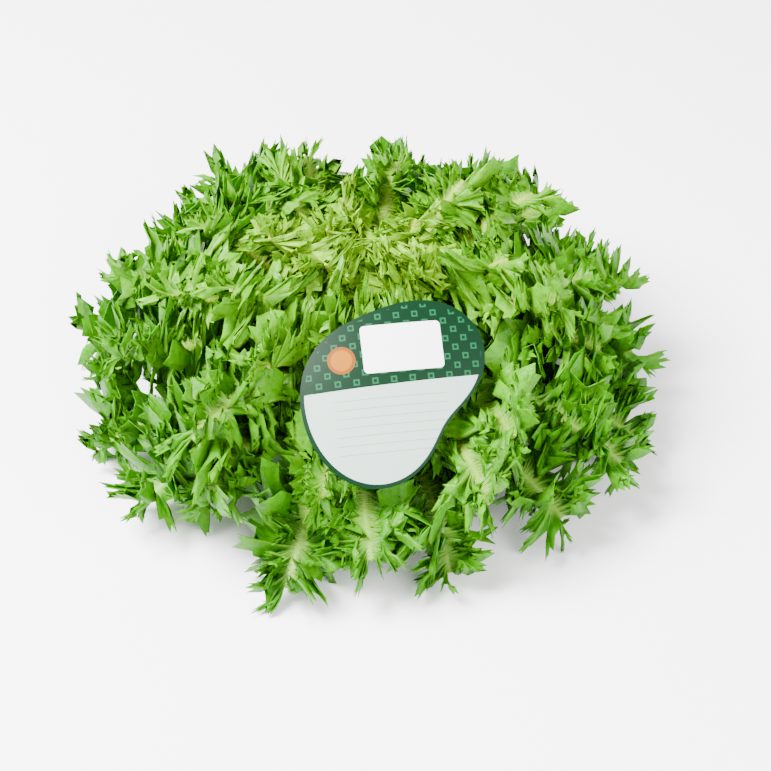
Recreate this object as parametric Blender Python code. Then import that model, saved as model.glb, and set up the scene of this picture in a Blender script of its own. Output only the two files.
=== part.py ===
"""Curly endive head: a short cut stem, four whorls of toothed leaves and a printed label.

Metres, +Z up. The head stands on the cut face of its stem, and the origin is that face's centre.
"""

import math
import random

import bmesh
import bpy
from mathutils import Vector

MM = 0.001
SEED = 2
MERGE_DISTANCE = 0.01 * MM
# Each leaf stands the golden angle on from the last, and the first one stands here
FIRST_LEAF_DEG = 285
GOLDEN_ANGLE = math.pi * (3 - math.sqrt(5))

# Every leaf lies on a shell, which is an arc turned about the stem's axis. Shell 0 is the
# outermost, spread over the table, and shell 1 is the upright middle of the heart. The
# middle one of three values shapes the shells in between, out at the head's shoulders.
START_R = (13.5 * MM, 4.5 * MM)
START_Z = (9 * MM, 39 * MM)
RISE_DEG = (34, 88)
TIP_DEG = (-40, -14, 95)
LENGTH = (136 * MM, 150 * MM, 58 * MM)

# The stem is a cone just inside the line on which the shells start
STEM_CUT_R = 13.5 * MM
STEM_CHAMFER = 1.2 * MM
STEM_CAP = 1.5 * MM
STEM_TOP_SHELL = 0.8
STEM_GAP = 0.4 * MM
STEM_SIDES = 28

# The clasping leaf bases of a whorl make one collar round the stem
COLLAR_ALONG = 0.055
COLLAR_SIDES = 28
ROOT_ALONG = 0.012

# name, shells that the whorl may fill, leaves, pairs of lobes on each, lobe length, colour
WHORLS = (
    ("outer_leaves", (0.000, 0.235), 19, 4, 37 * MM, (0.055, 0.170, 0.022)),
    ("middle_leaves", (0.260, 0.485), 17, 4, 33 * MM, (0.110, 0.290, 0.030)),
    ("inner_leaves", (0.510, 0.735), 13, 3, 28 * MM, (0.220, 0.440, 0.050)),
    ("heart_leaves", (0.760, 1.000), 9, 3, 21 * MM, (0.420, 0.560, 0.100)),
)
SHELL_MARGIN = 0.02

# One leaf: a rib strip, pairs of two-pointed lobes along it, and a three-pointed tip
BLADE_THICKNESS = 0.8 * MM
RIB_HALF_WIDTH = (4.2 * MM, 1.8 * MM)
STALK_STATIONS = (ROOT_ALONG, 0.18, 0.36)
LOBES_END = 0.90
LOBE_SWELL = (0.26, 0.76)
LOBE_WAVE = 0.085
WAVE_PER_LOBE = 2.4
NOTCH_LAG = 1.3
NOTCH_WAVE = 0.2
# Each point of a lobe: share of the way between its two stations, share of its length
REAR_POINT = (0.45, 0.86)
NOTCH = (0.85, 0.46)
FRONT_POINT = (1.45, 1.00)
# Half of the leaf's tip: shares along the rib and of a lobe's length, and share of the wave
TIP_SIDE_POINT = (1.00, 0.62, 0.5)
TIP_NOTCH = (0.98, 0.20, 0.1)
TIP_ALONG = 1.08
WRAP_SOFTNESS = 6 * MM
AZIMUTH_JITTER = 0.12
REACH_JITTER = 0.08
LOBE_JITTER = 0.1
# Leaves reach a little less far at the back (+Y) and further at the front
BACK_REACH = -0.06
SWAY = 11 * MM

# The label: a rounded triangle bent over the leaves on the side that faces the camera
LABEL_CENTRE = Vector((15 * MM, -83 * MM, 86 * MM))
LABEL_FACING = Vector((0.08, -0.60, 0.80)).normalized()
LABEL_RADIUS = 42 * MM
LABEL_HARMONICS = ((1, 2.8 * MM, 158), (2, 6.9 * MM, 44), (3, 3.1 * MM, 27))
LABEL_BEND_R = 190 * MM
LABEL_THICKNESS = 0.8 * MM
LABEL_SIDES = 36
LABEL_RINGS = 2

# Leaves from this far below the label's plane to this far above it are squeezed in under
# it, in full out to one share of its outline and no more at the other
PRESS_DEPTH = 30 * MM
PRESS_RISE = 38 * MM
LABEL_CLEARANCE = 3.5 * MM
PRESS_FADES = 1.15
PRESS_ENDS = 1.75

# Colour and roughness
STEM_FINISH = ((0.60, 0.56, 0.36), 0.6)
LABEL_FINISH = ((0.75, 0.82, 0.78), 0.4)
LEAF_ROUGHNESS = 0.5


def between(ends, share):
    """The value that lies a share of the way from the first end to the second."""
    return ends[0] + (ends[1] - ends[0]) * share


def eased(values, share):
    """As between, with a middle value that the curve bends towards."""
    return between((between(values[:2], share), between(values[1:], share)), share)


def on_shell(shell, along):
    """Distance from the axis, and height, at a share of the way along a shell's arc."""
    rise = math.radians(between(RISE_DEG, shell))
    bend = rise - math.radians(eased(TIP_DEG, shell))
    arc_radius = eased(LENGTH, shell) / bend
    now = rise - bend * along
    r = between(START_R, shell) + arc_radius * (math.sin(rise) - math.sin(now))
    z = between(START_Z, shell) + arc_radius * (math.cos(now) - math.cos(rise))
    return r, z


def label_axes():
    """The label's right, up and outward directions."""
    right = Vector((0, 0, 1)).cross(LABEL_FACING).normalized()
    return right, LABEL_FACING.cross(right), LABEL_FACING


def label_edge(angle):
    """Distance from the label's centre to its edge at an angle from its right side."""
    waves = (size * math.cos(n * (angle - math.radians(at))) for n, size, at in LABEL_HARMONICS)
    return LABEL_RADIUS + sum(waves)


def label_sag(u, v):
    """How far the bent label drops below the plane at its centre."""
    return (u * u + v * v) / (2 * LABEL_BEND_R)


def pressed(point):
    """Where a leaf's point goes where the label squeezes the leaves below it together."""
    right, up, out = label_axes()
    offset = point - LABEL_CENTRE
    u, v = offset.dot(right), offset.dot(up)
    height = offset.dot(out) + label_sag(u, v) + PRESS_DEPTH
    if height <= 0:
        return point
    share = math.hypot(u, v) / label_edge(math.atan2(v, u))
    fade = min(max((PRESS_ENDS - share) / (PRESS_ENDS - PRESS_FADES), 0), 1)
    squeeze = (PRESS_DEPTH - LABEL_CLEARANCE) / (PRESS_DEPTH + PRESS_RISE)
    return point - out * height * (1 - squeeze) * fade**2 * (3 - 2 * fade)


class Leaf:
    """One leaf's place on the head and its own variations."""

    def __init__(self, number, shell, band, pairs, lobe, chance):
        self.azimuth = math.radians(FIRST_LEAF_DEG) + number * GOLDEN_ANGLE
        self.azimuth += chance.uniform(-1, 1) * AZIMUTH_JITTER
        self.shell = shell
        self.sink = min(LOBE_WAVE, shell - band[0])
        self.rise = min(LOBE_WAVE, band[1] - shell)
        self.pairs = pairs
        self.lobe = lobe * (1 + chance.uniform(-1, 1) * LOBE_JITTER)
        self.reach = 1 + chance.uniform(-1, 1) * REACH_JITTER
        self.reach += BACK_REACH * math.sin(self.azimuth)
        self.sway = chance.uniform(-1, 1) * SWAY
        self.phase = chance.uniform(0, math.tau)

    def place(self, along, across, wave):
        """The point at a share along the rib, a distance across it and a wave from -1 to 1."""
        shell = self.shell + wave * (self.rise if wave > 0 else self.sink)
        r, z = on_shell(shell, along * self.reach)
        angle = self.azimuth + (across + self.sway * along**2) / (r + WRAP_SOFTNESS)
        point = pressed(Vector((r * math.cos(angle), r * math.sin(angle), z)))
        point.z = max(point.z, BLADE_THICKNESS / 2)
        return point

    def stations(self):
        """Shares along the rib: the stalk's, then one at each end of every pair of lobes."""
        ends = (STALK_STATIONS[-1], LOBES_END)
        lobed = [between(ends, j / self.pairs) for j in range(1, self.pairs + 1)]
        return list(STALK_STATIONS) + lobed

    def lobe_points(self, number, start, end, side):
        """The three outer points of one lobe, from the stalk's end to the leaf's tip."""
        share = (number + 0.5) / self.pairs
        length = self.lobe * math.sin(math.pi * between(LOBE_SWELL, share))
        phase = self.phase + WAVE_PER_LOBE * number + side
        waves = (math.sin(phase), NOTCH_WAVE * math.sin(phase + NOTCH_LAG), -math.sin(phase))
        for (step, out), wave in zip((REAR_POINT, NOTCH, FRONT_POINT), waves):
            along = between((start, end), step)
            across = between(RIB_HALF_WIDTH, along) + out * length
            yield self.place(along, side * across, wave)

    def sheet(self):
        """The leaf as a sheet of triangles, wound with its upper side out."""
        mesh = bmesh.new()
        stations = self.stations()
        first = len(STALK_STATIONS) - 1
        edges = {}
        for side in (1, -1):
            places = (self.place(a, side * between(RIB_HALF_WIDTH, a), 0) for a in stations)
            edges[side] = [mesh.verts.new(place) for place in places]
        left, right = edges[1], edges[-1]
        for j in range(len(stations) - 1):
            mesh.faces.new((left[j], left[j + 1], right[j + 1]))
            mesh.faces.new((left[j], right[j + 1], right[j]))
        for j in range(first, len(stations) - 1):
            for side in (1, -1):
                points = self.lobe_points(j - first, stations[j], stations[j + 1], side)
                rear, notch, front = (mesh.verts.new(point) for point in points)
                root, end = edges[side][j], edges[side][j + 1]
                for corners in ((root, rear, notch), (root, notch, end), (end, notch, front)):
                    mesh.faces.new(corners if side > 0 else corners[::-1])
        ends = {}
        for side in (1, -1):
            for along, out, wave in (TIP_SIDE_POINT, TIP_NOTCH):
                place = self.place(along, side * out * self.lobe, side * wave)
                ends.setdefault(side, []).append(mesh.verts.new(place))
        tip = mesh.verts.new(self.place(TIP_ALONG, 0, 0))
        notches = (ends[1][1], ends[-1][1])
        mesh.faces.new((left[-1], *ends[1]))
        mesh.faces.new((left[-1], *notches))
        mesh.faces.new((left[-1], notches[1], right[-1]))
        mesh.faces.new((notches[0], tip, notches[1]))
        mesh.faces.new((right[-1], *ends[-1][::-1]))
        return mesh


def thicken(mesh, thickness):
    """Turns an open sheet into a closed blade, its two sides split into triangles alike."""
    mesh.normal_update()
    normals = [v.normal.copy() for v in mesh.verts]
    lower = list(mesh.verts)
    made = bmesh.ops.extrude_face_region(mesh, geom=mesh.faces[:])
    upper = {tuple(v.co): v for v in made["geom"] if isinstance(v, bmesh.types.BMVert)}
    for vert, normal in zip(lower, normals):
        partner = upper[tuple(vert.co)]
        partner.co += normal * thickness / 2
        vert.co -= normal * thickness / 2
        vert.co.z = max(vert.co.z, 0)
        partner.co.z = max(partner.co.z, thickness)
    bmesh.ops.triangulate(mesh, faces=mesh.faces[:])
    bmesh.ops.recalc_face_normals(mesh, faces=mesh.faces[:])


def turned(profile, sides):
    """A closed body turned about the Z axis from a profile of (radius, height) points."""
    mesh = bmesh.new()
    points = [mesh.verts.new((r, 0, z)) for r, z in profile]
    closed = profile[0][0] > 0
    ends = zip(points, points[1:] + points[:1] if closed else points[1:])
    edges = [mesh.edges.new(pair) for pair in ends]
    bmesh.ops.spin(
        mesh,
        geom=points + edges,
        cent=(0, 0, 0),
        axis=(0, 0, 1),
        angle=math.tau,
        steps=sides,
        use_merge=True,
    )
    bmesh.ops.remove_doubles(mesh, verts=mesh.verts[:], dist=MERGE_DISTANCE)
    bmesh.ops.triangulate(mesh, faces=mesh.faces[:])
    bmesh.ops.recalc_face_normals(mesh, faces=mesh.faces[:])
    return mesh


def add_object(name, mesh, collection=None):
    """Makes an object of a bmesh and links it to the scene, or to a collection."""
    data = bpy.data.meshes.new(name)
    mesh.to_mesh(data)
    mesh.free()
    made = bpy.data.objects.new(name, data)
    (collection or bpy.context.scene.collection).objects.link(made)
    return made


def finish_with(made, colour, roughness):
    """Gives an object a plain finish of its own."""
    material = bpy.data.materials.new(made.name)
    material.use_nodes = True
    shader = material.node_tree.nodes["Principled BSDF"]
    shader.inputs["Base Color"].default_value = (*colour, 1)
    shader.inputs["Roughness"].default_value = roughness
    shader.inputs["Metallic"].default_value = 0
    made.data.materials.clear()
    made.data.materials.append(material)


def unite(base, collection):
    """Joins a collection's objects to the base object, and removes them."""
    join = base.modifiers.new("join", "BOOLEAN")
    join.operation = "UNION"
    join.solver = "MANIFOLD"
    join.operand_type = "COLLECTION"
    join.collection = collection
    graph = bpy.context.evaluated_depsgraph_get()
    joined = bpy.data.meshes.new_from_object(base.evaluated_get(graph))
    base.modifiers.clear()
    base.data = joined
    for made in list(collection.objects):
        bpy.data.objects.remove(made)
    bpy.data.collections.remove(collection)
    drop_scraps(joined)


def drop_scraps(data):
    """Splits a mesh into triangles and keeps only its largest body, not scraps or flaps."""
    mesh = bmesh.new()
    mesh.from_mesh(data)
    bmesh.ops.triangulate(mesh, faces=mesh.faces[:])
    left = set(mesh.faces)
    bodies = []
    while left:
        body, rim = set(), {left.pop()}
        while rim:
            body |= rim
            shared = (edge for face in rim for edge in face.edges if len(edge.link_faces) == 2)
            rim = {face for edge in shared for face in edge.link_faces} - body
        left -= body
        bodies.append(body)
    largest = max(bodies, key=len)
    scraps = [face for face in mesh.faces if face not in largest]
    bmesh.ops.delete(mesh, geom=scraps, context="FACES")
    mesh.to_mesh(data)
    mesh.free()


def build_stem():
    """The cut stem, a cone with a flat foot, which ends inside the heart's base."""
    top_r, top_z = on_shell(STEM_TOP_SHELL, 0)
    low_r, low_z = on_shell(0, 0)
    profile = (
        (0, 0),
        (STEM_CUT_R - STEM_CHAMFER, 0),
        (STEM_CUT_R, STEM_CHAMFER),
        (low_r - STEM_GAP, low_z),
        (top_r - STEM_GAP, top_z),
        (0, top_z + STEM_CAP),
    )
    made = add_object("cut_stem", turned(profile, STEM_SIDES))
    finish_with(made, *STEM_FINISH)


def collar_profile(band):
    """The outline of a whorl's collar; the heart's closes over the stem."""
    low, high = (on_shell(shell, 0) for shell in band)
    low_out, high_out = (on_shell(shell, COLLAR_ALONG) for shell in band)
    if band[1] < 1:
        return (low, low_out, high_out, high)
    cap = on_shell(STEM_TOP_SHELL, 0)[1] + STEM_CAP + STEM_GAP
    shoulder = (low[0], cap)
    return ((0, cap), shoulder, low, low_out, high_out, (0, high_out[1]))


def build_whorl(name, band, count, pairs, lobe, colour, first, chance):
    """One whorl of leaves, fused to its collar."""
    base = add_object(name, turned(collar_profile(band), COLLAR_SIDES))
    leaves = bpy.data.collections.new(name + "_leaves")
    bpy.context.scene.collection.children.link(leaves)
    room = (band[0] + SHELL_MARGIN, band[1] - SHELL_MARGIN)
    for i in range(count):
        shell = between(room, (i + 0.5) / count)
        mesh = Leaf(first + i, shell, band, pairs, lobe, chance).sheet()
        thicken(mesh, BLADE_THICKNESS)
        add_object(f"{name}_{i}", mesh, leaves)
    unite(base, leaves)
    finish_with(base, colour, LEAF_ROUGHNESS)


def build_label():
    """The bent card label."""
    right, up, out = label_axes()
    mesh = bmesh.new()
    centre = mesh.verts.new(LABEL_CENTRE)
    inner = None
    for ring in range(1, LABEL_RINGS + 1):
        verts = []
        for i in range(LABEL_SIDES):
            angle = math.tau * i / LABEL_SIDES
            distance = label_edge(angle) * ring / LABEL_RINGS
            u, v = distance * math.cos(angle), distance * math.sin(angle)
            verts.append(mesh.verts.new(LABEL_CENTRE + right * u + up * v - out * label_sag(u, v)))
        for i in range(LABEL_SIDES):
            k = (i + 1) % LABEL_SIDES
            if inner is None:
                mesh.faces.new((centre, verts[i], verts[k]))
            else:
                mesh.faces.new((inner[i], verts[i], verts[k]))
                mesh.faces.new((inner[i], verts[k], inner[k]))
        inner = verts
    thicken(mesh, LABEL_THICKNESS)
    finish_with(add_object("label", mesh), *LABEL_FINISH)


def main():
    """Clears the scene and builds the head."""
    for made in list(bpy.data.objects):
        bpy.data.objects.remove(made)
    chance = random.Random(SEED)
    build_stem()
    first = 0
    for name, band, count, pairs, lobe, colour in WHORLS:
        build_whorl(name, band, count, pairs, lobe, colour, first, chance)
        first += count
    build_label()


main()
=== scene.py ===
"""The looks of a curly endive head: curled toothed leaves, a cut stem and a bent card label.

The leaves repeat the places and the random draw of the plain blades in the solids, with a few
small ones more in the heart, and add what is finer: arms, teeth, curls, folds, veins and colour.
"""

import logging
import math
import random
from dataclasses import dataclass
from enum import Enum
from typing import Iterator, Sequence

import bmesh
import bpy
import numpy as np
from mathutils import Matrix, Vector


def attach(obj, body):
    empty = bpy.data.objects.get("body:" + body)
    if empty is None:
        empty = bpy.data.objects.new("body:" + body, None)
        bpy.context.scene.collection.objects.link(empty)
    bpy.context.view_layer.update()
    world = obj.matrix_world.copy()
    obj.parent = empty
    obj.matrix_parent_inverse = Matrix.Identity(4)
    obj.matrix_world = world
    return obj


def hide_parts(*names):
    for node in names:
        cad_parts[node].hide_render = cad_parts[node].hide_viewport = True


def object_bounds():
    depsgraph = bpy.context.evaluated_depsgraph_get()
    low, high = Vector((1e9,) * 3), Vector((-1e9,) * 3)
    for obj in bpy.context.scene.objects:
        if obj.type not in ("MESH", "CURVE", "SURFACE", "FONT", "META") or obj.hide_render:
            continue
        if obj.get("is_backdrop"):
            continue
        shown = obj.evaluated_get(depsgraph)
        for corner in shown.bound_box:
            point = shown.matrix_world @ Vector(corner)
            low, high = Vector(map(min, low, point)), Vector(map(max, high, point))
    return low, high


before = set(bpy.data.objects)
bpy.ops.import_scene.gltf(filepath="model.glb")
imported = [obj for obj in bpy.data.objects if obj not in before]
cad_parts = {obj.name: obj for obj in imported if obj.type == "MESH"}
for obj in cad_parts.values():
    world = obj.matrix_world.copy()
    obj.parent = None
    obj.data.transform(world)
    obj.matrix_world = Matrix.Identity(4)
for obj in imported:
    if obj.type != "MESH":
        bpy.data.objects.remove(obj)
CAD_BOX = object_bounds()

LOG = logging.getLogger("endive")
MM = 0.001
SEED = 2
WELD = 0.01 * MM
TINY = 1e-12
SHARP_DEG = 40
Pair = tuple[float, float]
Colour = tuple[float, float, float]
Value = float | np.ndarray
Rows = dict[str, np.ndarray]
Socket = bpy.types.NodeSocket


def between(ends: Sequence[Value], share: Value) -> Value:
    """The value that lies a share of the way from the first end to the second."""
    return ends[0] + (ends[1] - ends[0]) * share


def eased(values: Sequence[Value], share: Value) -> Value:
    """As between, with a middle value that the curve bends towards."""
    return between((between(values[:2], share), between(values[1:], share)), share)


def smooth_step(share: np.ndarray) -> np.ndarray:
    """A soft step from 0 to 1 as the share goes from 0 to 1."""
    share = np.clip(share, 0, 1)
    return share * share * (3 - 2 * share)


@dataclass(frozen=True)
class Shells:
    """The family of turned arcs that the leaves lie on, from 0, outermost, to 1, the heart."""

    start_r: Pair = (13.5 * MM, 4.5 * MM)
    start_z: Pair = (9 * MM, 39 * MM)
    rise_deg: Pair = (34, 88)
    tip_deg: tuple[float, float, float] = (-40, -14, 95)
    length: tuple[float, float, float] = (136 * MM, 150 * MM, 58 * MM)

    def profile(self, shell: Value, along: Value) -> tuple[Value, Value, Value]:
        """Where a point of a shell lies.

        Args:
            shell: The shell's number, from 0 to 1.
            along: The share of the way along its arc.

        Returns:
            The distance from the axis, the height, and the arc's slope in radians.
        """
        rise = np.radians(between(self.rise_deg, shell))
        bend = rise - np.radians(eased(self.tip_deg, shell))
        arc_radius = eased(self.length, shell) / bend
        slope = rise - bend * along
        r = between(self.start_r, shell) + arc_radius * (np.sin(rise) - np.sin(slope))
        z = between(self.start_z, shell) + arc_radius * (np.cos(slope) - np.cos(rise))
        return r, z, slope


@dataclass(frozen=True)
class CardPlan:
    """The label's place, its outline, and how it presses the leaves below it.

    The outline is a circle with waves on it: how many go round, how high they are, and the angle
    of a crest in degrees from the label's right side.
    """

    centre: Vector = Vector((15 * MM, -83 * MM, 86 * MM))
    facing: Vector = Vector((0.08, -0.60, 0.80)).normalized()
    radius: float = 42 * MM
    waves: tuple[tuple[int, float, float], ...] = (
        (1, 2.8 * MM, 158),
        (2, 6.9 * MM, 44),
        (3, 3.1 * MM, 27),
    )
    bend_r: float = 190 * MM
    press_depth: float = 30 * MM
    press_rise: float = 52 * MM
    clearance: float = 2.4 * MM
    press_fades: float = 1.08
    press_ends: float = 1.6

    def axes(self) -> np.ndarray:
        """The label's right, up and outward directions, one a row."""
        right = Vector((0, 0, 1)).cross(self.facing).normalized()
        return np.array((right, self.facing.cross(right), self.facing))

    def edge(self, angle: np.ndarray) -> np.ndarray:
        """Distance from the label's centre to its edge at an angle from its right side."""
        return self.radius + sum(
            height * np.cos(count * (angle - math.radians(crest)))
            for count, height, crest in self.waves
        )

    def sag(self, u: Value, v: Value) -> Value:
        """How far the bent label drops below the plane at its centre."""
        return (u * u + v * v) / (2 * self.bend_r)

    def press(self, points: np.ndarray) -> np.ndarray:
        """Squeezes leaves in under the label.

        Args:
            points: Leaf points, one a row.

        Returns:
            The same points, moved inwards where the label covers them.
        """
        axes = self.axes()
        u, v, w = ((points - np.array(self.centre)) @ axes.T).T
        height = np.maximum(w + self.sag(u, v) + self.press_depth, 0)
        share = np.hypot(u, v) / self.edge(np.arctan2(v, u))
        fade = smooth_step((self.press_ends - share) / (self.press_ends - self.press_fades))
        squeeze = (self.press_depth - self.clearance) / (self.press_depth + self.press_rise)
        return points - axes[2] * (height * (1 - squeeze) * fade)[:, None]


SHELLS = Shells()
CARD = CardPlan()


@dataclass(frozen=True)
class LeafFinish:
    """The colours of one whorl's leaves: its rib, its blade and margin, and their darker spots."""

    name: str
    rib: Colour
    blade: Colour
    margin: Colour
    deep: Colour
    roughness: float = 0.28
    specular: float = 0.24
    translucence: float = 0.36


class Finish(Enum):
    """The finishes of the four whorls."""

    OUTER = LeafFinish(
        "outer_leaf", (0.26, 0.48, 0.050), (0.034, 0.220, 0.0), (0.068, 0.320, 0.0), (0.010, 0.090, 0.0)
    )
    MIDDLE = LeafFinish(
        "middle_leaf", (0.30, 0.51, 0.045), (0.052, 0.275, 0.0), (0.090, 0.370, 0.0), (0.014, 0.110, 0.0)
    )
    INNER = LeafFinish(
        "inner_leaf", (0.36, 0.54, 0.040), (0.080, 0.320, 0.0), (0.125, 0.430, 0.0), (0.022, 0.140, 0.0)
    )
    HEART = LeafFinish(
        "heart_leaf", (0.46, 0.58, 0.040), (0.155, 0.410, 0.0), (0.225, 0.510, 0.0), (0.048, 0.200, 0.0)
    )


@dataclass(frozen=True)
class Whorl:
    """One node's leaves.

    They fill a band of the shells, and each has so many pairs of lobes of about that length.
    Small leaves may be added to them, and all are shared out among so many parts.
    """

    node: str
    band: Pair
    leaves: int
    pairs: int
    lobe: float
    parts: int
    small_leaves: int
    finish: LeafFinish


WHORLS = (
    Whorl("outer_leaves", (0.000, 0.235), 19, 4, 37 * MM, 2, 0, Finish.OUTER.value),
    Whorl("middle_leaves", (0.260, 0.485), 17, 4, 33 * MM, 2, 0, Finish.MIDDLE.value),
    Whorl("inner_leaves", (0.510, 0.735), 13, 3, 28 * MM, 1, 0, Finish.INNER.value),
    Whorl("heart_leaves", (0.760, 1.000), 9, 3, 21 * MM, 1, 2, Finish.HEART.value),
)


class Graph:
    """A material's node tree, with short ways to add to it."""

    def __init__(self, name: str) -> None:
        """Makes an empty material of that name."""
        self.material = bpy.data.materials.new(name)
        self.material.use_nodes = True
        self.tree = self.material.node_tree
        self.shader = self.tree.nodes["Principled BSDF"]
        self.output = self.tree.nodes["Material Output"]

    def add(self, kind: str, inputs: dict | None = None, **settings) -> bpy.types.Node:
        """Adds a node.

        Args:
            kind: The node's type, without its ShaderNode prefix.
            inputs: Values or sockets for its inputs, by name or number.
            settings: Values for its properties.

        Returns:
            The new node.
        """
        node = self.tree.nodes.new("ShaderNode" + kind)
        for key, value in settings.items():
            setattr(node, key, value)
        for key, value in (inputs or {}).items():
            self.feed(node.inputs[key], value)
        return node

    def feed(self, socket: Socket, value: Socket | Colour | float) -> None:
        """Links a socket into an input, or sets the input's own value."""
        if isinstance(value, Socket):
            self.tree.links.new(value, socket)
        elif isinstance(value, tuple) and len(value) == 3 and socket.type == "RGBA":
            socket.default_value = (*value, 1)
        else:
            socket.default_value = value

    def surface(self, colour: Socket | Colour, roughness: float, specular: float) -> None:
        """Sets the shader's colour, roughness and reflection."""
        self.feed(self.shader.inputs["Base Color"], colour)
        self.shader.inputs["Roughness"].default_value = roughness
        self.shader.inputs["Specular IOR Level"].default_value = specular

    def math(self, operation: str, *values: Socket | float) -> Socket:
        """A Math node's output."""
        return self.add("Math", dict(enumerate(values)), operation=operation).outputs[0]

    def blend(self, factor: Socket | float, low: Socket | Colour, high: Socket | Colour) -> Socket:
        """A colour between two others, by a factor from 0 to 1."""
        # A Mix node's sockets for colours come after those for numbers and vectors.
        inputs = {0: factor, 6: low, 7: high}
        return self.add("Mix", inputs, data_type="RGBA").outputs[2]

    def noise(self, scale: float, detail: float) -> Socket:
        """A noise texture's value, on the object's own coordinates."""
        place = self.add("TexCoord").outputs["Object"]
        inputs = {"Vector": place, "Scale": scale, "Detail": detail}
        return self.add("TexNoise", inputs).outputs["Fac"]

    def ramp(self, value: Socket, low: float, high: float) -> Socket:
        """A value stretched from a range to 0 and 1, and clamped."""
        inputs = {"Value": value, "From Min": low, "From Max": high}
        return self.add("MapRange", inputs).outputs["Result"]

    def bump(self, height: Socket, strength: float, distance: float) -> None:
        """Puts a bump on the shader's surface."""
        inputs = {"Height": height, "Strength": strength, "Distance": distance}
        self.feed(self.shader.inputs["Normal"], self.add("Bump", inputs).outputs["Normal"])


class LeafMaterial:
    """A thin leaf that lets light through, with veins, mottling and a pale rib.

    The mesh's leaf_tone holds, from 0 to 1, how pale a point is as rib, its way out to the
    margin, its way along the leaf, and its leaf's own shade.
    """

    mottle_scale = 55.0
    mottle_detail = 3
    mottle_share = 0.9
    margin_range = (0.15, 0.95)
    vein_scale = 330.0
    vein_detail = 4
    deep_range = (0.45, 0.70)
    deep_share = 0.5
    young_range = (1.0, 0.2)
    young_share = 0.30
    rib_power = 1.3
    pore_scale = 1400.0
    pore_detail = 1
    pore_share = 0.3
    wrinkle_strength = 0.6
    wrinkle_depth = 1.2 * MM
    lit_share = 0.40
    lit_colour = (0.17, 0.54, 0.0)

    def __init__(self, finish: LeafFinish) -> None:
        """Makes the material of one whorl."""
        g = Graph(finish.name)
        tone = g.add("Attribute", attribute_name="leaf_tone")
        parts = g.add("SeparateColor", {"Color": tone.outputs["Color"]})
        rib, outward, along = (parts.outputs[name] for name in ("Red", "Green", "Blue"))
        own = tone.outputs["Alpha"]
        mottle = g.noise(self.mottle_scale, self.mottle_detail)
        veins = g.noise(self.vein_scale, self.vein_detail)

        spots = g.math("MULTIPLY_ADD", mottle, self.mottle_share, -0.5 * self.mottle_share)
        edge_share = g.ramp(g.math("ADD", outward, spots), *self.margin_range)
        colour = g.blend(edge_share, finish.blade, finish.margin)
        deep = g.math("MULTIPLY", g.ramp(veins, *self.deep_range), self.deep_share)
        colour = g.blend(deep, colour, finish.deep)
        young = g.ramp(g.math("ADD", along, own), *self.young_range)
        colour = g.blend(g.math("MULTIPLY", young, self.young_share), colour, finish.rib)
        colour = g.blend(g.math("POWER", rib, self.rib_power), colour, finish.rib)
        g.surface(colour, finish.roughness, finish.specular)

        pores = g.math("MULTIPLY", g.noise(self.pore_scale, self.pore_detail), self.pore_share)
        g.bump(g.math("ADD", veins, pores), self.wrinkle_strength, self.wrinkle_depth)
        lit = g.blend(self.lit_share, colour, self.lit_colour)
        through = g.add("BsdfTranslucent", {"Color": lit})
        inputs = {0: finish.translucence, 1: g.shader.outputs[0], 2: through.outputs[0]}
        g.feed(g.output.inputs["Surface"], g.add("MixShader", inputs).outputs[0])
        self.material = g.material


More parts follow.
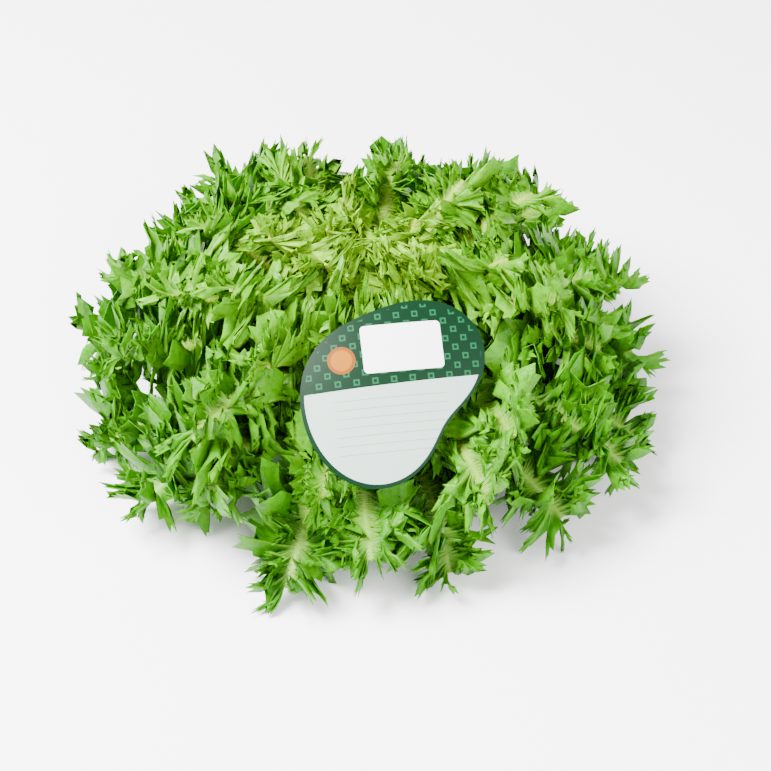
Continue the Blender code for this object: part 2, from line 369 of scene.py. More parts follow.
class LeafPlate:
    """A flat closed plate, cut into rows along a leaf and columns across it.

    Each side of a leaf takes the rows in turn: first the bare stalk's, then two for each tooth.
    The columns are the rib's and, on either side of it, the blade's.
    """

    rib_columns = 1
    blade_columns = 3
    rows_per_tooth = 2
    stalk_rows = 6
    stalk_lobes = 3
    stalk_teeth = 6
    pair_teeth = (12, 35)
    tip_teeth = 34

    def __init__(self, pairs: int) -> None:
        """Makes the plate for leaves with so many pairs of lobes."""
        self.teeth = [round(between(self.pair_teeth, k / (pairs - 1))) for k in range(pairs)]
        teeth = self.stalk_lobes * self.stalk_teeth + 2 * sum(self.teeth) + self.tip_teeth
        self.rows = self.stalk_rows + teeth * self.rows_per_tooth
        self.middle = self.rib_columns + self.blade_columns
        self.columns = 2 * self.middle
        self.data = self._make()
        places = np.empty(3 * len(self.data.vertices))
        self.data.vertices.foreach_get("co", places)
        places = places.reshape(-1, 3)
        self.row = np.rint(places[:, 0]).astype(int)
        self.column = np.rint(places[:, 1]).astype(int)
        self.upper = places[:, 2] > 0
        self.loop_plan = self._loop_plan()

    def _make(self) -> bpy.types.Mesh:
        """The plate as a mesh, a unit to each row and column, its lower face at height 0."""
        mesh = bmesh.new()
        bmesh.ops.create_grid(mesh, x_segments=self.rows, y_segments=self.columns, size=0.5)
        bmesh.ops.translate(mesh, verts=mesh.verts[:], vec=(0.5, 0.5, 0))
        bmesh.ops.scale(mesh, verts=mesh.verts[:], vec=(self.rows, self.columns, 1))
        made = bmesh.ops.extrude_face_region(mesh, geom=mesh.faces[:])
        raised = [v for v in made["geom"] if isinstance(v, bmesh.types.BMVert)]
        bmesh.ops.translate(mesh, verts=raised, vec=(0, 0, 1))
        bmesh.ops.recalc_face_normals(mesh, faces=mesh.faces[:])
        for face in mesh.faces:
            face.smooth = True
        for edge in mesh.edges:
            sides = {abs(round(face.normal.z)) for face in edge.link_faces}
            edge.smooth = len(sides) == 1
        data = bpy.data.meshes.new("plate")
        mesh.to_mesh(data)
        mesh.free()
        return data

    def _loop_plan(self) -> np.ndarray:
        """Each face corner's place on the unrolled plate, the rim folded flat."""
        corners = np.empty(len(self.data.loops), dtype=int)
        self.data.loops.foreach_get("vertex_index", corners)
        normals = np.empty(3 * len(self.data.polygons))
        self.data.polygons.foreach_get("normal", normals)
        totals = np.empty(len(self.data.polygons), dtype=int)
        self.data.polygons.foreach_get("loop_total", totals)
        under = np.repeat(normals.reshape(-1, 3)[:, 2] < -0.5, totals)
        across = self.column[corners] / (2 * self.columns)
        across = np.where(under, 1 - across, across)
        return np.stack((self.row[corners] / self.rows, across), axis=1)


@dataclass
class Lobe:
    """One lobe of a leaf's side, a fan of toothed arms.

    Its foot is the stretch of the rib that it stands on, and its tip is the share along the rib
    and the distance out that it points to. Its wave is its lift among the shells, from -1 to 1,
    and its spread is half the fan's angle, in radians.
    """

    foot: Pair
    tip: Pair
    wave: float
    teeth: int
    spread: float


ROW_VALUES = {
    "foot": "share along the rib at which the row stands",
    "angle": "direction of the arm's middle line, from straight out to forward",
    "aside": "angle from that line to the row",
    "sweep": "sideways bend of the arm towards its end",
    "radius": "length from the rib to the margin",
    "notch": "share of that length cut away between two teeth",
    "wave": "lift of the lobe among the shells",
    "lean": "slope at which the arm leaves the rib",
    "bend": "further slope that it has at its end",
    "twist": "turn of the arm about its middle line",
    "fold": "lift of the arm's sides along that line",
    "turn": "phase of the arm's sway",
    "frill": "lift of the margin",
    "flick": "lift of a tooth's point",
    "vein": "paleness as the arm's middle vein",
}


class Leaf:
    """One leaf's place on the head, its own variations and its shape.

    Lengths are in metres and angles in radians, but in degrees where a name ends in deg. A pair
    is a range to draw from, or the values at the two ends of what it runs along.
    """

    # Its place, as in the solids, drawn in a little to the photograph's outline.
    golden_angle = math.pi * (3 - math.sqrt(5))
    first_leaf_deg = 285
    azimuth_jitter = 0.12
    lobe_jitter = 0.1
    reach_jitter = 0.08
    back_reach = -0.06
    drawn_in = 0.97
    sway_most = 11 * MM
    wrap_softness = 6 * MM
    lobe_wave = 0.085
    draws_apart = 1000

    # Its rib and blade.
    root_along = 0.012
    stalk_edge = (0.4 * MM, 1.2 * MM)
    rib_half_width = (5.2 * MM, 1.4 * MM)
    rib_depth = (3.4 * MM, 0.7 * MM)
    rib_channel = 0.5 * MM
    blade_thickness = (0.60 * MM, 0.26 * MM)
    floor_gap = 0.3 * MM

    # Its lobes.
    stalk_lobes_start = 0.15
    stalk_lobe_length = (5 * MM, 12 * MM)
    stalk_lobe_jitter = (0.6, 1.3)
    stalk_lobe_ahead = 0.01
    stalk_lobe_wave = 0.3
    stalk_spread_deg = 24
    stalk_end = 0.36
    lobes_end = 0.90
    lobe_swell = (0.26, 0.76)
    lobe_length = (0.88, 1.14)
    lobe_taper = 0.34
    lobe_roundness = 0.8
    wave_per_lobe = 2.4
    wave_haste = 1.5
    tip_wave = 0.5
    spread_deg = (32, 50)

    # Where a lobe points: a share along its pair's stretch of rib, and one of its length.
    rear_point = (0.45, 0.90)
    front_point = (1.45, 1.04)
    tip_point = (1.05, 0.55)

    # Their arms and teeth.
    teeth_per_arm = 4
    arm_root = 0.52
    arm_squareness = 2.2
    arm_roundness = 0.7
    arm_width = (0.60, 0.70, 0.85, 1.20)
    arm_length = (0.72, 1.08)
    arm_sweep = 0.38
    least_swell = 0.01
    side_tooth = 0.35
    tooth_depth = 4.6 * MM
    deepest_tooth = 0.32
    tooth_jitter = (0.5, 1.5)

    # Their curls, folds and frills.
    cup = 0.15
    lobe_lean = 0.30
    arm_lean = 0.50
    arm_curl = (0.6, 2.0)
    curled_under = 0.35
    least_bend = 0.01
    arm_twist = 1.1
    arm_fold = (-0.5, 0.9)
    arm_sway = 0.085
    sway_turns = 0.8
    wide_frill = 0.10
    wide_frills = (3.0, 6.0)
    fine_frill = 1.4 * MM
    teeth_per_frill = (2.4, 3.8)
    tooth_curl = 0.08
    curl_power = 6

    # How the pale rib fades across itself and out from it, and how pale the veins are.
    rib_fades = (0.35, 2.0)
    vein_half_width = 0.25
    vein_paleness = 2.0

    def __init__(self, number: int, shell: float, whorl: Whorl, chance: random.Random) -> None:
        """Draws the leaf's own variations, in the order in which the solids draw them.

        Args:
            number: The leaf's number on the head.
            shell: The shell that it lies on.
            whorl: The whorl that it belongs to.
            chance: The draw that it takes them from.
        """
        self.azimuth = math.radians(self.first_leaf_deg) + number * self.golden_angle
        self.azimuth += chance.uniform(-1, 1) * self.azimuth_jitter
        self.shell = shell
        self.whorl = whorl
        self.sink = min(self.lobe_wave, shell - whorl.band[0])
        self.rise = min(self.lobe_wave, whorl.band[1] - shell)
        self.lobe = whorl.lobe * (1 + chance.uniform(-1, 1) * self.lobe_jitter)
        self.reach = 1 + chance.uniform(-1, 1) * self.reach_jitter
        self.reach = (self.reach + self.back_reach * math.sin(self.azimuth)) * self.drawn_in
        self.sway = chance.uniform(-1, 1) * self.sway_most
        self.phase = chance.uniform(0, math.tau)
        self.detail = np.random.default_rng(SEED * self.draws_apart + number)
        self.arc_length = eased(SHELLS.length, shell) * self.reach

    def lobes(self, plate: LeafPlate, side: int) -> Iterator[Lobe]:
        """The lobes of one side, from the root to the tip.

        Args:
            plate: The plate that the leaf is shaped from.
            side: 1 for the left side and -1 for the right.

        Yields:
            Each lobe, which takes two of the plate's rows for each of its teeth.
        """
        ends = np.linspace(self.stalk_lobes_start, self.stalk_end, plate.stalk_lobes + 1)
        for k, foot in enumerate(zip(ends, ends[1:])):
            out = between(self.stalk_lobe_length, k / plate.stalk_lobes)
            out *= self.detail.uniform(*self.stalk_lobe_jitter)
            tip = (foot[1] + self.stalk_lobe_ahead, out)
            wave = self.stalk_lobe_wave * math.sin(self.phase + k)
            yield Lobe(foot, tip, wave, plate.stalk_teeth, math.radians(self.stalk_spread_deg))
        pairs = self.whorl.pairs
        span = (self.stalk_end, self.lobes_end)
        for k in range(pairs):
            ends = between(span, k / pairs), between(span, (k + 1) / pairs)
            length = self.lobe * math.sin(math.pi * between(self.lobe_swell, (k + 0.5) / pairs))
            wave = math.sin(self.phase + self.wave_per_lobe * k + side)
            half = 0.5 * sum(ends)
            for point, foot, lift in (
                (self.rear_point, (ends[0], half), wave),
                (self.front_point, (half, ends[1]), -wave),
            ):
                tip = (between(ends, point[0]), point[1] * length)
                spread = math.radians(self.detail.uniform(*self.spread_deg))
                spread *= math.sqrt(plate.teeth[k] / plate.teeth[-1])
                yield Lobe(foot, tip, lift, plate.teeth[k], spread)
        tip = (self.tip_point[0], self.tip_point[1] * self.lobe)
        spread = math.radians(self.spread_deg[1])
        yield Lobe((self.lobes_end, 1.0), tip, self.tip_wave * side, plate.tip_teeth, spread)

    def lobe_rows(self, lobe: Lobe, last_wave: float, rows_per_tooth: int) -> Rows:
        """What each row of one lobe says about the blade there.

        Args:
            lobe: The lobe.
            last_wave: The wave of the lobe before it, at which it starts.
            rows_per_tooth: How many rows a tooth takes.

        Returns:
            The arrays that ROW_VALUES describes, one value a row.
        """
        chance = self.detail
        count = lobe.teeth * rows_per_tooth
        u = np.linspace(-1, 1, count + 1)
        cusp = np.arange(count + 1) % 2
        arms = round(lobe.teeth / self.teeth_per_arm)
        arm = 0.5 * (u + 1) * arms
        own = np.clip(arm.astype(int), 0, arms - 1)
        swell = 1 - np.abs(2 * (arm % 1) - 1) ** self.arm_squareness
        aside = np.where(swell > self.least_swell, 2 * (arm % 1) - 1, 0)
        swing = lobe.spread / arms
        forward = (lobe.tip[0] - 0.5 * sum(lobe.foot)) * self.arc_length
        jitter = chance.uniform(*self.tooth_jitter, count + 1)
        toothed = 1 - self.side_tooth * jitter * (1 - cusp)
        outline = between((self.arm_root, 1), swell)
        outline = outline * np.cos(self.lobe_taper * math.pi * u) ** self.lobe_roundness
        length = math.hypot(forward, lobe.tip[1]) * chance.uniform(*self.lobe_length)
        lengths = between((1, chance.uniform(*self.arm_length, arms)[own]), swell)
        radius = length * outline * lengths
        rows = {
            "foot": between(lobe.foot, 0.5 * (u + 1)),
            "angle": math.atan2(forward, lobe.tip[1]) + lobe.spread * u - swing * aside,
            "aside": swing * np.sign(aside) * np.abs(aside) ** self.arm_roundness * toothed,
            "radius": radius,
            "sweep": chance.uniform(-1, 1, arms)[own] * self.arm_sweep,
            "turn": chance.uniform(0, math.tau, arms)[own],
            "twist": chance.uniform(-1, 1, arms)[own] * self.arm_twist,
            "fold": chance.uniform(*self.arm_fold, arms)[own],
            "wave": between((last_wave, lobe.wave), smooth_step(self.wave_haste * (u + 1))),
            "vein": np.clip(1 - np.abs(arm % 1 - 0.5) / self.vein_half_width, 0, 1),
        }
        deepest = np.minimum(self.tooth_depth / radius, self.deepest_tooth)
        rows["notch"] = deepest * jitter * (1 - cusp)
        leans = self.arm_lean * self.swings(u, arms) + chance.uniform(-1, 1) * self.lobe_lean
        rows["lean"] = self.cup + leans
        upward = np.where(chance.uniform(0, 1, arms) < self.curled_under, -1, 1)
        rows["bend"] = (upward * chance.uniform(*self.arm_curl, arms))[own]
        flicks = chance.uniform(-1, 1, count + 1) * self.tooth_curl
        rows["flick"] = flicks * cusp * radius
        wide = np.sin(math.pi * chance.uniform(*self.wide_frills) * u + chance.uniform(0, math.tau))
        turns = math.pi * lobe.teeth / chance.uniform(*self.teeth_per_frill)
        fine = np.sin(turns * u + chance.uniform(0, math.tau))
        rows["frill"] = self.wide_frill * radius * wide + self.fine_frill * fine * np.sqrt(swell)
        return rows

    def swings(self, u: np.ndarray, arms: int) -> np.ndarray:
        """A smooth random line through a lobe, about from -1 to 1, that differs from arm to arm."""
        knots = np.linspace(-1, 1, 2 * arms + 1)
        heights = self.detail.uniform(-1, 1, len(knots))
        share = (u + 1) * arms
        below = np.minimum(share.astype(int), len(knots) - 2)
        return between((heights[below], heights[below + 1]), smooth_step(share - below))

    def side_rows(self, plate: LeafPlate, side: int) -> Rows:
        """What each row of one side says about the blade there.

        Args:
            plate: The plate that the leaf is shaped from.
            side: 1 for the left side and -1 for the right.

        Returns:
            The arrays that ROW_VALUES describes, one value a row.
        """
        rows = {name: np.zeros(plate.rows + 1) for name in ROW_VALUES}
        stalk = np.linspace(0, 1, plate.stalk_rows + 1)
        rows["foot"][: len(stalk)] = between((self.root_along, self.stalk_lobes_start), stalk)
        rows["radius"][: len(stalk)] = between(self.stalk_edge, stalk)
        first = plate.stalk_rows
        last_wave = 0.0
        for lobe in self.lobes(plate, side):
            last = first + lobe.teeth * plate.rows_per_tooth
            for name, values in self.lobe_rows(lobe, last_wave, plate.rows_per_tooth).items():
                rows[name][first : last + 1] = values
            first = last
            last_wave = lobe.wave
        return rows

    def place(self, along: np.ndarray, across: np.ndarray, wave: np.ndarray) -> tuple:
        """Points on the leaf's shell and the shell's upper normals there.

        Args:
            along: The shares along the rib.
            across: The distances across it.
            wave: How far each point is lifted among the shells, from -1 to 1.

        Returns:
            The points and the normals.
        """
        shell = self.shell + wave * np.where(wave > 0, self.rise, self.sink)
        r, z, slope = SHELLS.profile(shell, along * self.reach)
        angle = self.azimuth + (across + self.sway * along**2) / (r + self.wrap_softness)
        points = np.stack((r * np.cos(angle), r * np.sin(angle), z), axis=-1)
        inward = -np.sin(slope)
        normals = np.stack((inward * np.cos(angle), inward * np.sin(angle), np.cos(slope)), axis=-1)
        return points, normals

    def curl(self, rows: Rows, outward: np.ndarray) -> tuple:
        """How the arms run out from the rib.

        Args:
            rows: The rows of both sides, spread over the plate's columns.
            outward: Each column's way out to the margin, from 0 to 1.

        Returns:
            Each point's distance from the rib along the shell, its direction there, and its
            lift off the shell.
        """
        length = rows["radius"] * (1 - rows["notch"] * outward**2)
        bend = np.where(np.abs(rows["bend"]) < self.least_bend, self.least_bend, rows["bend"])
        turned = rows["lean"] + bend * outward
        flat = length / bend * (np.sin(turned) - np.sin(rows["lean"]))
        lift = length / bend * (np.cos(rows["lean"]) - np.cos(turned))
        lift += rows["frill"] * outward**2 + rows["flick"] * outward**self.curl_power
        width = np.interp(outward, np.linspace(0, 1, len(self.arm_width)), self.arm_width)
        aside = rows["aside"] * width
        angle = rows["angle"] + aside * np.cos(rows["twist"]) + rows["sweep"] * outward**2
        sway = np.sin(self.sway_turns * math.tau * outward + rows["turn"])
        lift += self.arm_sway * length * outward * sway
        lift += flat * (aside * np.sin(rows["twist"]) + np.abs(aside) * rows["fold"])
        return flat, angle, lift

    def tones(self, rows: Rows, along: np.ndarray, outward: np.ndarray, rib: np.ndarray) -> np.ndarray:
        """The tone of each point, as the leaf's material reads it.

        Args:
            rows: The rows of both sides, spread over the plate's columns.
            along: Each point's share along the rib.
            outward: Each column's way out to the margin, from 0 to 1.
            rib: Each column's way from the rib's middle to its edge, from 0 to 1.

        Returns:
            Four values for each point.
        """
        pale = np.clip(1 - self.rib_fades[0] * rib - self.rib_fades[1] * outward, 0, 1)
        veins = rows["vein"] * outward * (1 - outward) * self.vein_paleness
        pale = np.maximum(pale * np.ones_like(along), veins)
        own = np.full_like(along, self.detail.uniform(0, 1))
        return np.stack((pale, outward * np.ones_like(along), np.clip(along, 0, 1), own), axis=-1)

    def shape(self, plate: LeafPlate) -> tuple[np.ndarray, np.ndarray]:
        """Shapes the plate's points into this leaf.

        Args:
            plate: The plate to shape.

        Returns:
            The points and their tones, one a row.
        """
        left, right = self.side_rows(plate, 1), self.side_rows(plate, -1)
        offset = np.arange(-plate.middle, plate.middle + 1)[None, :]
        rows = {
            name: np.where(offset > 0, left[name][:, None], right[name][:, None])
            for name in ROW_VALUES
        }
        spine = 0.5 * (left["foot"] + right["foot"])[:, None]
        rib = np.clip(np.abs(offset) / plate.rib_columns, 0, 1)
        outward = np.clip((np.abs(offset) - plate.rib_columns) / plate.blade_columns, 0, 1)
        flat, angle, lift = self.curl(rows, outward)
        lift -= self.rib_channel * (1 - rib) * (1 - spine)
        along = spine + flat * np.sin(angle) / self.arc_length
        across = rib * between(self.rib_half_width, spine) + flat * np.cos(angle)

        sheet, carrier = self.place(along, across * np.sign(offset), rows["wave"] * outward)
        sheet += carrier * lift[..., None]
        sheet = CARD.press(sheet.reshape(-1, 3)).reshape(sheet.shape)
        normals = np.cross(np.gradient(sheet, axis=1), np.gradient(sheet, axis=0))
        normals /= np.maximum(np.linalg.norm(normals, axis=-1, keepdims=True), TINY)
        if (normals[:, plate.middle] * carrier[:, plate.middle]).sum() < 0:
            normals = -normals

        above = 0.5 * between(self.blade_thickness, outward) * np.ones_like(along)
        below = above + between(self.rib_depth, spine) * (1 - rib**2)
        at = (plate.row, plate.column)
        points = sheet[at] + normals[at] * np.where(plate.upper, above[at], -below[at])[:, None]
        points[:, 2] = np.maximum(points[:, 2], np.where(plate.upper, 2, 1) * self.floor_gap)
        return points, self.tones(rows, along, outward, rib)[at]


class LeafWhorl:
    """The leaves of one node, joined in a piece or two."""

    shell_margin = 0.02
    strip_margin = 0.02
    first_small = 200

    def __init__(self, whorl: Whorl, first: int, chance: random.Random) -> None:
        """Draws the whorl's leaves.

        Args:
            whorl: The whorl's sizes and colours.
            first: The number of its first leaf on the head.
            chance: The draw that the leaves of all whorls share.
        """
        self.whorl = whorl
        self.plate = LeafPlate(whorl.pairs)
        self.leaves = list(self._draw(first, whorl.leaves, chance))
        small = self._draw(self.first_small + first, whorl.small_leaves, random.Random(SEED + first))
        self.leaves += small

    def _draw(self, first: int, count: int, chance: random.Random) -> Iterator[Leaf]:
        """So many leaves, spread evenly over the whorl's band of shells."""
        low, high = self.whorl.band
        room = (low + self.shell_margin, high - self.shell_margin)
        for i in range(count):
            yield Leaf(first + i, between(room, (i + 0.5) / count), self.whorl, chance)

    def leaf_object(self, leaf: Leaf, strip: int, strips: int) -> bpy.types.Object:
        """One leaf as an object.

        Args:
            leaf: The leaf.
            strip: Its strip on the piece's unrolled plan.
            strips: How many strips the plan has.

        Returns:
            The new object, linked to the scene.
        """
        points, tone = leaf.shape(self.plate)
        data = self.plate.data.copy()
        data.vertices.foreach_set("co", points.astype(np.float32).ravel())
        attribute = data.attributes.new("leaf_tone", "FLOAT_COLOR", "POINT")
        attribute.data.foreach_set("color", tone.astype(np.float32).ravel())
        plan = self.plate.loop_plan.copy()
        plan[:, 1] = (strip + between((self.strip_margin, 1 - self.strip_margin), plan[:, 1])) / strips
        data.uv_layers.new(name="OFBake").data.foreach_set("uv", plan.astype(np.float32).ravel())
        data.update()
        made = bpy.data.objects.new("leaf", data)
        bpy.context.scene.collection.objects.link(made)
        return made

    def build(self) -> Iterator[bpy.types.Object]:
        """Makes the whorl's pieces."""
        material = LeafMaterial(self.whorl.finish).material
        for part in range(self.whorl.parts):
            share = self.leaves[part :: self.whorl.parts]
            made = [self.leaf_object(leaf, i, len(share)) for i, leaf in enumerate(share)]
            with bpy.context.temp_override(
                active_object=made[0], object=made[0], selected_editable_objects=made
            ):
                bpy.ops.object.join()
            piece = made[0]
            suffix = f"_{part + 1}" if self.whorl.parts > 1 else ""
            piece.name = piece.data.name = f"fine_{self.whorl.node}{suffix}"
            piece.data.materials.append(material)
            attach(piece, "root")
            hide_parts(self.whorl.node)
            yield piece
        bpy.data.meshes.remove(self.plate.data)


def new_piece(name: str, mesh: bmesh.types.BMesh, material: bpy.types.Material) -> bpy.types.Object:
    """Makes a smooth object of a bmesh.

    Args:
        name: The piece's name.
        mesh: The bmesh, which is freed.
        material: Its finish.

    Returns:
        The new object, linked to the scene.
    """
    data = bpy.data.meshes.new(name)
    mesh.to_mesh(data)
    mesh.free()
    data.shade_smooth()
    data.set_sharp_from_angle(angle=math.radians(SHARP_DEG))
    data.materials.append(material)
    made = bpy.data.objects.new(name, data)
    bpy.context.scene.collection.objects.link(made)
    return made


@dataclass(frozen=True)
class StemFinish:
    """Cream flesh with green up the side, and browned rings on the cut face."""

    flesh: tuple[Colour, Colour] = ((0.66, 0.60, 0.36), (0.52, 0.55, 0.22))
    flesh_scale: float = 120.0
    ring: Colour = (0.40, 0.30, 0.13)
    ring_share: float = 0.35
    ring_scale: float = 180.0
    ring_distortion: float = 2.5
    brown: Colour = (0.30, 0.19, 0.08)
    brown_share: float = 0.6
    brown_heights: Pair = (1.5 * MM, 0.0)
    brown_radii: Pair = (4 * MM, 13 * MM)
    green: Colour = (0.50, 0.60, 0.22)
    green_heights: Pair = (3 * MM, 20 * MM)
    roughness: float = 0.55
    specular: float = 0.5
    grain_scale: float = 700.0
    grain_detail: float = 3
    grain_strength: float = 0.4
    grain_depth: float = 0.4 * MM

    def material(self) -> bpy.types.Material:
        """Makes the material."""
        g = Graph("stem")
        place = g.add("TexCoord").outputs["Object"]
        x, y, z = g.add("SeparateXYZ", {"Vector": place}).outputs
        r = g.math("SQRT", g.math("ADD", g.math("MULTIPLY", x, x), g.math("MULTIPLY", y, y)))
        inputs = {"Vector": place, "Scale": self.ring_scale, "Distortion": self.ring_distortion}
        rings = g.add("TexWave", inputs, wave_type="RINGS", rings_direction="Z").outputs["Fac"]
        colour = g.blend(g.noise(self.flesh_scale, self.grain_detail), *self.flesh)
        colour = g.blend(g.math("MULTIPLY", rings, self.ring_share), colour, self.ring)
        cut = g.math("MULTIPLY", g.ramp(z, *self.brown_heights), g.ramp(r, *self.brown_radii))
        colour = g.blend(g.math("MULTIPLY", cut, self.brown_share), colour, self.brown)
        colour = g.blend(g.ramp(z, *self.green_heights), colour, self.green)
        g.surface(colour, self.roughness, self.specular)
        grain = g.noise(self.grain_scale, self.grain_detail)
        g.bump(grain, self.grain_strength, self.grain_depth)
        return g.material


@dataclass(frozen=True)
class Stem:
    """The cut stem, turned in the round."""

    node: str = "cut_stem"
    sides: int = 64
    cuts: int = 3
    cut_r: float = 13.5 * MM
    chamfer: float = 1.2 * MM
    top_shell: float = 0.8
    gap: float = 0.4 * MM
    cap: float = 1.5 * MM
    finish: StemFinish = StemFinish()

    def build(self) -> bpy.types.Object:
        """Makes the stem's mesh and its piece."""
        low_r, low_z, _ = SHELLS.profile(0.0, 0.0)
        top_r, top_z, _ = SHELLS.profile(self.top_shell, 0.0)
        profile = (
            (0, 0),
            (self.cut_r - self.chamfer, 0),
            (self.cut_r, self.chamfer),
            (low_r - self.gap, low_z),
            (top_r - self.gap, top_z),
            (0, top_z + self.cap),
        )
        mesh = bmesh.new()
        points = [mesh.verts.new((r, 0, z)) for r, z in profile]
        edges = [mesh.edges.new(ends) for ends in zip(points, points[1:])]
        bmesh.ops.subdivide_edges(mesh, edges=edges, cuts=self.cuts)
        bmesh.ops.spin(
            mesh,
            geom=mesh.verts[:] + mesh.edges[:],
            cent=(0, 0, 0),
            axis=(0, 0, 1),
            angle=math.tau,
            steps=self.sides,
            use_merge=True,
        )
        bmesh.ops.remove_doubles(mesh, verts=mesh.verts[:], dist=WELD)
        bmesh.ops.recalc_face_normals(mesh, faces=mesh.faces[:])
        piece = new_piece("fine_cut_stem", mesh, self.finish.material())
        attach(piece, "root")
        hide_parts(self.node)
        return piece


class CardPrint:
    """The label's plain design: a lattice, a blank panel and a disc over ruled lines.

    Its places and sizes are in plan units, centimetres on the flat card from its centre.
    """

    plan_unit = 10 * MM
    green = (0.0, 0.014, 0.004)
    light_green = (0.004, 0.070, 0.026)
    pale = (0.32, 0.42, 0.37)
    blank = (0.80, 0.83, 0.81)
    line = (0.06, 0.12, 0.09)
    lattice_deg = 45
    lattice_cell = 0.62
    diamond = (0.10, 0.21)
    seam_slope = 0.03
    seam_height = 0.22
    line_gap = 0.42
    line_width = 0.035
    line_share = 0.55
    lines_across = (-2.9, 2.4)
    lines_up = (-3.1, -0.3)
    panel_middle = (0.55, 1.95)
    panel_half = (1.9, 1.15)
    panel_corner = 0.22
    disc_middle = (-2.35, 1.55)
    disc_rings = ((0.66, (0.16, 0.045, 0.0)), (0.50, (0.26, 0.090, 0.0)))
    rim_starts = 0.955
    roughness = 0.42
    specular = 0.12
    grain_scale = 900.0
    grain_detail = 2
    grain_strength = 0.08
    grain_depth = 0.3 * MM

    def __init__(self) -> None:
        """Makes the material from the mesh's card_plan and card_rim."""
        self.g = g = Graph("label_card")
        self.plan = g.add("UVMap", uv_map="card_plan").outputs[0]
        self.u, self.v, _ = g.add("SeparateXYZ", {"Vector": self.plan}).outputs
        rim = g.add("Attribute", attribute_name="card_rim").outputs["Fac"]
        seam = g.math("MULTIPLY_ADD", self.u, self.seam_slope, self.seam_height)
        colour = g.blend(g.math("GREATER_THAN", self.v, seam), self.lower_part(), self.header())
        colour = g.blend(self.panel(), colour, self.blank)
        for radius, disc in self.disc_rings:
            colour = g.blend(self.disc(radius), colour, disc)
        colour = g.blend(g.math("GREATER_THAN", rim, self.rim_starts), colour, self.green)
        g.surface(colour, self.roughness, self.specular)
        grain = g.noise(self.grain_scale, self.grain_detail)
        g.bump(grain, self.grain_strength, self.grain_depth)
        self.material = g.material

    def inside(self, value: Socket, low: float, high: float) -> Socket:
        """1 where a value lies in a range, and 0 outside it."""
        above = self.g.math("GREATER_THAN", value, low)
        return self.g.math("MULTIPLY", above, self.g.math("LESS_THAN", value, high))

    def header(self) -> Socket:
        """The header's green, with small hollow diamonds in a lattice."""
        g = self.g
        turn = (0, 0, math.radians(self.lattice_deg))
        turned = g.add("Mapping", {"Vector": self.plan, "Rotation": turn}).outputs[0]
        size = (self.lattice_cell, self.lattice_cell, 1.0)
        cell = g.add("VectorMath", {0: turned, 1: size, 2: (0, 0, 0)}, operation="WRAP").outputs[0]
        middle = (0.5 * self.lattice_cell, 0.5 * self.lattice_cell, 0)
        spot = g.add("VectorMath", {0: cell, 1: middle}, operation="SUBTRACT").outputs[0]
        x, y, _ = g.add("SeparateXYZ", {"Vector": spot}).outputs
        away = g.math("ADD", g.math("ABSOLUTE", x), g.math("ABSOLUTE", y))
        return g.blend(self.inside(away, *self.diamond), self.green, self.light_green)

    def lower_part(self) -> Socket:
        """The pale part below the header, with faint ruled lines."""
        g = self.g
        over_line = g.math("WRAP", self.v, self.line_gap, 0.0)
        ruled = self.inside(over_line, 0.0, self.line_width)
        ruled = g.math("MULTIPLY", ruled, self.inside(self.v, *self.lines_up))
        ruled = g.math("MULTIPLY", ruled, self.inside(self.u, *self.lines_across))
        return g.blend(g.math("MULTIPLY", ruled, self.line_share), self.pale, self.line)

    def panel(self) -> Socket:
        """1 inside the round-cornered blank panel."""
        g = self.g
        squares = []
        for value, middle, half in zip((self.u, self.v), self.panel_middle, self.panel_half):
            away = g.math("ABSOLUTE", g.math("SUBTRACT", value, middle))
            over = g.math("MAXIMUM", g.math("SUBTRACT", away, half - self.panel_corner), 0.0)
            squares.append(g.math("MULTIPLY", over, over))
        return g.math("LESS_THAN", g.math("SQRT", g.math("ADD", *squares)), self.panel_corner)

    def disc(self, radius: float) -> Socket:
        """1 inside the disc of that radius."""
        ends = {0: self.plan, 1: (*self.disc_middle, 0)}
        away = self.g.add("VectorMath", ends, operation="DISTANCE").outputs["Value"]
        return self.g.math("LESS_THAN", away, radius)


@dataclass(frozen=True)
class Label:
    """The bent card label."""

    node: str = "label"
    sides: int = 144
    rings: int = 10
    thickness: float = 0.6 * MM
    shortest_edge: float = 0.001 * MM

    def build(self) -> bpy.types.Object:
        """Makes the card and its piece."""
        mesh = bmesh.new()
        bmesh.ops.create_grid(mesh, x_segments=self.sides, y_segments=self.rings, size=0.5)
        self.bend(mesh)
        bmesh.ops.remove_doubles(mesh, verts=mesh.verts[:], dist=WELD)
        bmesh.ops.dissolve_degenerate(mesh, edges=mesh.edges[:], dist=self.shortest_edge)
        bmesh.ops.recalc_face_normals(mesh, faces=mesh.faces[:])
        if sum(face.normal.dot(CARD.facing) for face in mesh.faces) < 0:
            bmesh.ops.reverse_faces(mesh, faces=mesh.faces[:])
        bmesh.ops.solidify(mesh, geom=mesh.faces[:], thickness=self.thickness)
        bmesh.ops.recalc_face_normals(mesh, faces=mesh.faces[:])
        piece = new_piece("card_label", mesh, CardPrint().material)
        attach(piece, "root")
        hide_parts(self.node)
        return piece

    def bend(self, mesh: bmesh.types.BMesh) -> None:
        """Turns a square grid into the bent card, with its plan and its way out to the rim.

        Args:
            mesh: The grid, whose x goes round the card and whose y goes out from its centre.
        """
        plan = mesh.loops.layers.uv.new("card_plan")
        rim = mesh.verts.layers.float.new("card_rim")
        right, up, out = CARD.axes()
        centre = np.array(CARD.centre)
        spots = {}
        for vert in mesh.verts:
            angle, share = math.tau * (vert.co.x + 0.5), vert.co.y + 0.5
            distance = share * float(CARD.edge(np.array(angle)))
            u, v = distance * math.cos(angle), distance * math.sin(angle)
            vert.co = centre + right * u + up * v - out * CARD.sag(u, v)
            vert[rim] = share
            spots[vert] = (u / CardPrint.plan_unit, v / CardPrint.plan_unit)
        for face in mesh.faces:
            for loop in face.loops:
                loop[plan].uv = spots[loop.vert]


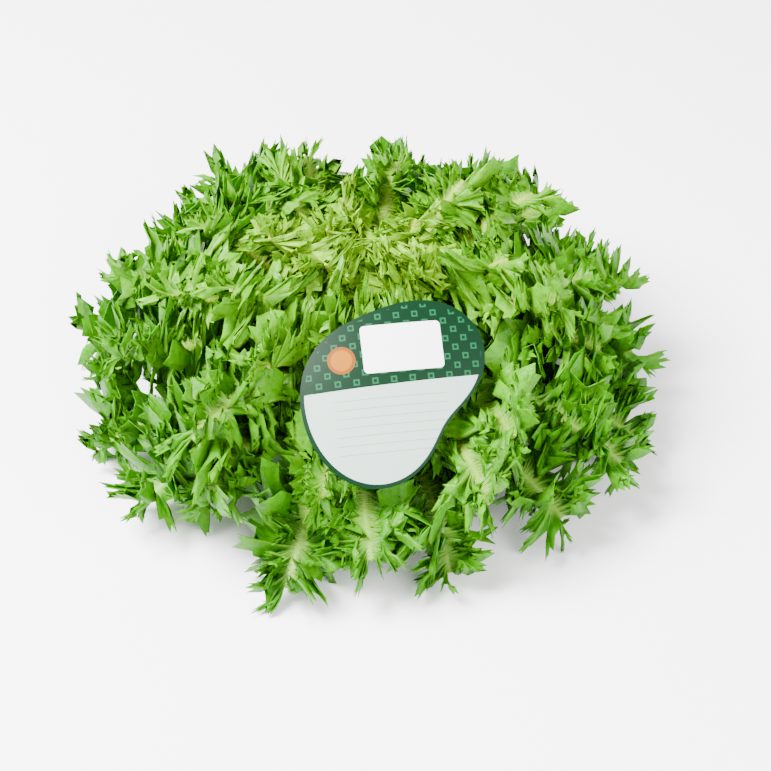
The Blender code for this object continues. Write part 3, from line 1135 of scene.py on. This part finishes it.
@dataclass(frozen=True)
class SoftLight:
    """A square area light that faces the head, with its size in metres."""

    name: str
    place: tuple[float, float, float]
    size: float
    watts: float

    def build(self) -> None:
        """Adds the light to the scene."""
        data = bpy.data.lights.new(self.name, "AREA")
        data.energy = self.watts
        data.size = self.size
        light = bpy.data.objects.new(self.name, data)
        light.location = self.place
        light.rotation_euler = Vector(self.place).to_track_quat("Z", "Y").to_euler()
        bpy.context.scene.collection.objects.link(light)


@dataclass(frozen=True)
class Studio:
    """The pale floor, the soft lights and the camera."""

    elevation_deg: float = 43
    distance: float = 1.3
    pixels_per_mm: float = 1.95
    image_pixels: float = 771
    base_pixel: Pair = (365, 400)
    sensor_mm: float = 36
    sky: float = 1.1
    lights: tuple[SoftLight, ...] = (
        SoftLight("key", (-0.75, -0.20, 1.25), 0.70, 150),
        SoftLight("fill", (0.9, -1.0, 0.9), 1.2, 48),
    )
    floor_half: float = 6
    floor_grey: float = 0.94
    floor_roughness: float = 0.9
    floor_specular: float = 0.1

    def build(self) -> None:
        """Makes the camera, the floor, the lights and the sky."""
        self.make_camera()
        self.make_floor()
        for light in self.lights:
            light.build()
        world = bpy.data.worlds.new("studio")
        bpy.context.scene.world = world
        world.use_nodes = True
        shade = world.node_tree.nodes["Background"]
        shade.inputs["Color"].default_value = (1, 1, 1, 1)
        shade.inputs["Strength"].default_value = self.sky

    def view_axes(self) -> tuple[Vector, Vector, Vector]:
        """The view's right, up and backward directions."""
        elevation = math.radians(self.elevation_deg)
        back = Vector((0, -math.cos(elevation), math.sin(elevation)))
        return Vector((1, 0, 0)), back.cross(Vector((1, 0, 0))), back

    def make_camera(self) -> None:
        """Puts the stem's foot on its pixel of the photograph."""
        right, up, back = self.view_axes()
        middle = self.image_pixels / 2
        shift = [(middle - at) / self.pixels_per_mm * MM for at in self.base_pixel]
        target = right * shift[0] - up * shift[1]
        data = bpy.data.cameras.new("camera")
        data.sensor_width = self.sensor_mm
        data.lens = self.sensor_mm * self.pixels_per_mm / MM * self.distance / self.image_pixels
        camera = bpy.data.objects.new("camera", data)
        camera.location = target + back * self.distance
        camera.rotation_euler = back.to_track_quat("Z", "Y").to_euler()
        bpy.context.scene.collection.objects.link(camera)
        bpy.context.scene.camera = camera

    def make_floor(self) -> None:
        """A wide matt floor."""
        mesh = bmesh.new()
        bmesh.ops.create_grid(mesh, x_segments=1, y_segments=1, size=self.floor_half)
        g = Graph("floor")
        grey = (self.floor_grey, self.floor_grey, self.floor_grey)
        g.surface(grey, self.floor_roughness, self.floor_specular)
        new_piece("floor", mesh, g.material)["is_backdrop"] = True


def main() -> None:
    """Builds the head and the studio."""
    logging.basicConfig(level=logging.INFO, format="%(name)s: %(message)s")
    Studio().build()
    chance = random.Random(SEED)
    first = 0
    pieces = []
    for whorl in WHORLS:
        pieces += LeafWhorl(whorl, first, chance).build()
        first += whorl.leaves
    pieces += [Stem().build(), Label().build()]
    for piece in pieces:
        piece.data.calc_loop_triangles()
        LOG.info("%s: %d triangles", piece.name, len(piece.data.loop_triangles))
    boxes = {"cad": CAD_BOX, "visual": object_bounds()}
    {name: [list(corner) for corner in box] for name, box in boxes.items()}


if __name__ == "__main__":
    main()
